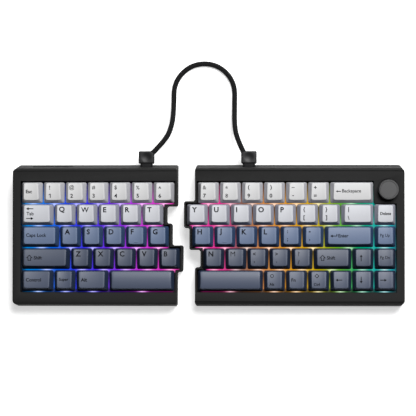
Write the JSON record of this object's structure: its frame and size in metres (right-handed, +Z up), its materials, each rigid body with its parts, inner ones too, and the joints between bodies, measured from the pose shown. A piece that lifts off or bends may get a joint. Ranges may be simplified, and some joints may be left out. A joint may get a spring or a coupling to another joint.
{
  "type": "split keyboard",
  "caption": "Compact ergonomic split keyboard: two wedge-shaped black halves with dished gradient keycaps, a round volume knob and a short braided bridge cable between right-angled plugs",
  "frame": {"origin": "on the desk plane under the middle of the two cases", "axes": "+X to the user's right along the rows, +Y to the rear where the bridge cable leaves, +Z up"},
  "size_m": [0.3392, 0.2177, 0.0391],
  "materials": {
    "case_black": "fine matt, near black",
    "keycap_white": "matt white",
    "keycap_lilac": "matt pale lilac grey",
    "keycap_slate": "matt slate blue",
    "keycap_navy": "matt grey navy",
    "switch_plate": "satin, lit by the coloured backlight",
    "circuit_board": "black solder mask",
    "switch_plastic": "smooth dark plastic",
    "gasket_foam": "soft black strip",
    "foot_rubber": "matt black",
    "connector_steel": "plain stamped steel",
    "battery_wrap": "shiny film",
    "knob_metal": "matt dark grey",
    "cable_braid": "tight black braid",
    "plug_plastic": "satin black"
  },
  "bodies": {
    "keyboard": {"left_top_case": "case_black", "right_top_case": "case_black", "left_bottom_case": "case_black", "right_bottom_case": "case_black", "left_switch_plate": "switch_plate", "right_switch_plate": "switch_plate", "left_circuit_board": "circuit_board", "right_circuit_board": "circuit_board", "switch_housings": "switch_plastic", "stabilizer_housings": "switch_plastic", "plate_gaskets": "gasket_foam", "rubber_feet": "foot_rubber", "usb_sockets": "connector_steel", "battery": "battery_wrap", "mode_switch_body": "connector_steel", "encoder_body": "connector_steel", "bridge_cable": "cable_braid", "left_bridge_plug": "plug_plastic", "right_bridge_plug": "plug_plastic"},
    "encoder_rotor": {"encoder_rotor": "connector_steel"},
    "volume_knob": {"volume_knob": "knob_metal", "encoder_shaft": "connector_steel"},
    "mode_slider": {"mode_slider": "switch_plastic"},
    "left_space_bar": {"left_space_bar": "keycap_navy"},
    "right_space_bar": {"right_space_bar": "keycap_navy"},
    "number_keys": {"number_keys": "keycap_white"},
    "left_edge_keys": {"left_edge_keys": "keycap_slate"},
    "right_edge_keys": {"right_edge_keys": "keycap_slate"},
    "modifier_keys": {"modifier_keys": "keycap_navy"},
    "navigation_keys": {"navigation_keys": "keycap_slate"},
    "punctuation_keys": {"punctuation_keys": "keycap_slate"},
    "arrow_keys": {"arrow_keys": "keycap_navy"},
    "key_q": {"key_q": "keycap_lilac"},
    "key_w": {"key_w": "keycap_lilac"},
    "key_e": {"key_e": "keycap_lilac"},
    "key_r": {"key_r": "keycap_lilac"},
    "key_t": {"key_t": "keycap_lilac"},
    "key_y": {"key_y": "keycap_lilac"},
    "key_u": {"key_u": "keycap_lilac"},
    "key_i": {"key_i": "keycap_lilac"},
    "key_o": {"key_o": "keycap_lilac"},
    "key_p": {"key_p": "keycap_lilac"},
    "key_a": {"key_a": "keycap_slate"},
    "key_s": {"key_s": "keycap_slate"},
    "key_d": {"key_d": "keycap_slate"},
    "key_f": {"key_f": "keycap_slate"},
    "key_g": {"key_g": "keycap_slate"},
    "key_h": {"key_h": "keycap_slate"},
    "key_j": {"key_j": "keycap_slate"},
    "key_k": {"key_k": "keycap_slate"},
    "key_l": {"key_l": "keycap_slate"},
    "key_z": {"key_z": "keycap_navy"},
    "key_x": {"key_x": "keycap_navy"},
    "key_c": {"key_c": "keycap_navy"},
    "key_v": {"key_v": "keycap_navy"},
    "key_b": {"key_b": "keycap_navy"},
    "key_n": {"key_n": "keycap_navy"},
    "key_m": {"key_m": "keycap_navy"}
  },
  "joints": [
    {"name": "knob_turn", "type": "hinge", "parent": "keyboard", "child": "encoder_rotor", "pos_m": [0.15535, 0.03608, 0.03146], "axis": [0, -0.1045, 0.9945], "continuous": true},
    {"name": "knob_press", "type": "slide", "parent": "encoder_rotor", "child": "volume_knob", "axis": [0, 0.1045, -0.9945], "range_m": [0, 0.0005], "stiffness_N_per_m": 3000, "springref_m": -0.0005},
    {"name": "mode_slide", "type": "slide", "parent": "keyboard", "child": "mode_slider", "axis": [1, 0, 0], "range_m": [0, 0.003]},
    {"name": "left_space_bar_press", "type": "slide", "parent": "keyboard", "child": "left_space_bar", "axis": [0, 0.1045, -0.9945], "range_m": [0, 0.004], "stiffness_N_per_m": 65, "springref_m": -0.006},
    {"name": "right_space_bar_press", "type": "slide", "parent": "keyboard", "child": "right_space_bar", "axis": [0, 0.1045, -0.9945], "range_m": [0, 0.004], "stiffness_N_per_m": 65, "springref_m": -0.006},
    {"name": "number_keys_press", "type": "slide", "parent": "keyboard", "child": "number_keys", "axis": [0, 0.1045, -0.9945], "range_m": [0, 0.004], "stiffness_N_per_m": 780, "springref_m": -0.006},
    {"name": "left_edge_keys_press", "type": "slide", "parent": "keyboard", "child": "left_edge_keys", "axis": [0, 0.1045, -0.9945], "range_m": [0, 0.004], "stiffness_N_per_m": 260, "springref_m": -0.006},
    {"name": "right_edge_keys_press", "type": "slide", "parent": "keyboard", "child": "right_edge_keys", "axis": [0, 0.1045, -0.9945], "range_m": [0, 0.004], "stiffness_N_per_m": 260, "springref_m": -0.006},
    {"name": "modifier_keys_press", "type": "slide", "parent": "keyboard", "child": "modifier_keys", "axis": [0, 0.1045, -0.9945], "range_m": [0, 0.004], "stiffness_N_per_m": 390, "springref_m": -0.006},
    {"name": "navigation_keys_press", "type": "slide", "parent": "keyboard", "child": "navigation_keys", "axis": [0, 0.1045, -0.9945], "range_m": [0, 0.004], "stiffness_N_per_m": 195, "springref_m": -0.006},
    {"name": "punctuation_keys_press", "type": "slide", "parent": "keyboard", "child": "punctuation_keys", "axis": [0, 0.1045, -0.9945], "range_m": [0, 0.004], "stiffness_N_per_m": 455, "springref_m": -0.006},
    {"name": "arrow_keys_press", "type": "slide", "parent": "keyboard", "child": "arrow_keys", "axis": [0, 0.1045, -0.9945], "range_m": [0, 0.004], "stiffness_N_per_m": 260, "springref_m": -0.006},
    {"name": "key_q_press", "type": "slide", "parent": "keyboard", "child": "key_q", "axis": [0, 0.1045, -0.9945], "range_m": [0, 0.004], "stiffness_N_per_m": 65, "springref_m": -0.006},
    {"name": "key_w_press", "type": "slide", "parent": "keyboard", "child": "key_w", "axis": [0, 0.1045, -0.9945], "range_m": [0, 0.004], "stiffness_N_per_m": 65, "springref_m": -0.006},
    {"name": "key_e_press", "type": "slide", "parent": "keyboard", "child": "key_e", "axis": [0, 0.1045, -0.9945], "range_m": [0, 0.004], "stiffness_N_per_m": 65, "springref_m": -0.006},
    {"name": "key_r_press", "type": "slide", "parent": "keyboard", "child": "key_r", "axis": [0, 0.1045, -0.9945], "range_m": [0, 0.004], "stiffness_N_per_m": 65, "springref_m": -0.006},
    {"name": "key_t_press", "type": "slide", "parent": "keyboard", "child": "key_t", "axis": [0, 0.1045, -0.9945], "range_m": [0, 0.004], "stiffness_N_per_m": 65, "springref_m": -0.006},
    {"name": "key_y_press", "type": "slide", "parent": "keyboard", "child": "key_y", "axis": [0, 0.1045, -0.9945], "range_m": [0, 0.004], "stiffness_N_per_m": 65, "springref_m": -0.006},
    {"name": "key_u_press", "type": "slide", "parent": "keyboard", "child": "key_u", "axis": [0, 0.1045, -0.9945], "range_m": [0, 0.004], "stiffness_N_per_m": 65, "springref_m": -0.006},
    {"name": "key_i_press", "type": "slide", "parent": "keyboard", "child": "key_i", "axis": [0, 0.1045, -0.9945], "range_m": [0, 0.004], "stiffness_N_per_m": 65, "springref_m": -0.006},
    {"name": "key_o_press", "type": "slide", "parent": "keyboard", "child": "key_o", "axis": [0, 0.1045, -0.9945], "range_m": [0, 0.004], "stiffness_N_per_m": 65, "springref_m": -0.006},
    {"name": "key_p_press", "type": "slide", "parent": "keyboard", "child": "key_p", "axis": [0, 0.1045, -0.9945], "range_m": [0, 0.004], "stiffness_N_per_m": 65, "springref_m": -0.006},
    {"name": "key_a_press", "type": "slide", "parent": "keyboard", "child": "key_a", "axis": [0, 0.1045, -0.9945], "range_m": [0, 0.004], "stiffness_N_per_m": 65, "springref_m": -0.006},
    {"name": "key_s_press", "type": "slide", "parent": "keyboard", "child": "key_s", "axis": [0, 0.1045, -0.9945], "range_m": [0, 0.004], "stiffness_N_per_m": 65, "springref_m": -0.006},
    {"name": "key_d_press", "type": "slide", "parent": "keyboard", "child": "key_d", "axis": [0, 0.1045, -0.9945], "range_m": [0, 0.004], "stiffness_N_per_m": 65, "springref_m": -0.006},
    {"name": "key_f_press", "type": "slide", "parent": "keyboard", "child": "key_f", "axis": [0, 0.1045, -0.9945], "range_m": [0, 0.004], "stiffness_N_per_m": 65, "springref_m": -0.006},
    {"name": "key_g_press", "type": "slide", "parent": "keyboard", "child": "key_g", "axis": [0, 0.1045, -0.9945], "range_m": [0, 0.004], "stiffness_N_per_m": 65, "springref_m": -0.006},
    {"name": "key_h_press", "type": "slide", "parent": "keyboard", "child": "key_h", "axis": [0, 0.1045, -0.9945], "range_m": [0, 0.004], "stiffness_N_per_m": 65, "springref_m": -0.006},
    {"name": "key_j_press", "type": "slide", "parent": "keyboard", "child": "key_j", "axis": [0, 0.1045, -0.9945], "range_m": [0, 0.004], "stiffness_N_per_m": 65, "springref_m": -0.006},
    {"name": "key_k_press", "type": "slide", "parent": "keyboard", "child": "key_k", "axis": [0, 0.1045, -0.9945], "range_m": [0, 0.004], "stiffness_N_per_m": 65, "springref_m": -0.006},
    {"name": "key_l_press", "type": "slide", "parent": "keyboard", "child": "key_l", "axis": [0, 0.1045, -0.9945], "range_m": [0, 0.004], "stiffness_N_per_m": 65, "springref_m": -0.006},
    {"name": "key_z_press", "type": "slide", "parent": "keyboard", "child": "key_z", "axis": [0, 0.1045, -0.9945], "range_m": [0, 0.004], "stiffness_N_per_m": 65, "springref_m": -0.006},
    {"name": "key_x_press", "type": "slide", "parent": "keyboard", "child": "key_x", "axis": [0, 0.1045, -0.9945], "range_m": [0, 0.004], "stiffness_N_per_m": 65, "springref_m": -0.006},
    {"name": "key_c_press", "type": "slide", "parent": "keyboard", "child": "key_c", "axis": [0, 0.1045, -0.9945], "range_m": [0, 0.004], "stiffness_N_per_m": 65, "springref_m": -0.006},
    {"name": "key_v_press", "type": "slide", "parent": "keyboard", "child": "key_v", "axis": [0, 0.1045, -0.9945], "range_m": [0, 0.004], "stiffness_N_per_m": 65, "springref_m": -0.006},
    {"name": "key_b_press", "type": "slide", "parent": "keyboard", "child": "key_b", "axis": [0, 0.1045, -0.9945], "range_m": [0, 0.004], "stiffness_N_per_m": 65, "springref_m": -0.006},
    {"name": "key_n_press", "type": "slide", "parent": "keyboard", "child": "key_n", "axis": [0, 0.1045, -0.9945], "range_m": [0, 0.004], "stiffness_N_per_m": 65, "springref_m": -0.006},
    {"name": "key_m_press", "type": "slide", "parent": "keyboard", "child": "key_m", "axis": [0, 0.1045, -0.9945], "range_m": [0, 0.004], "stiffness_N_per_m": 65, "springref_m": -0.006}
  ]
}
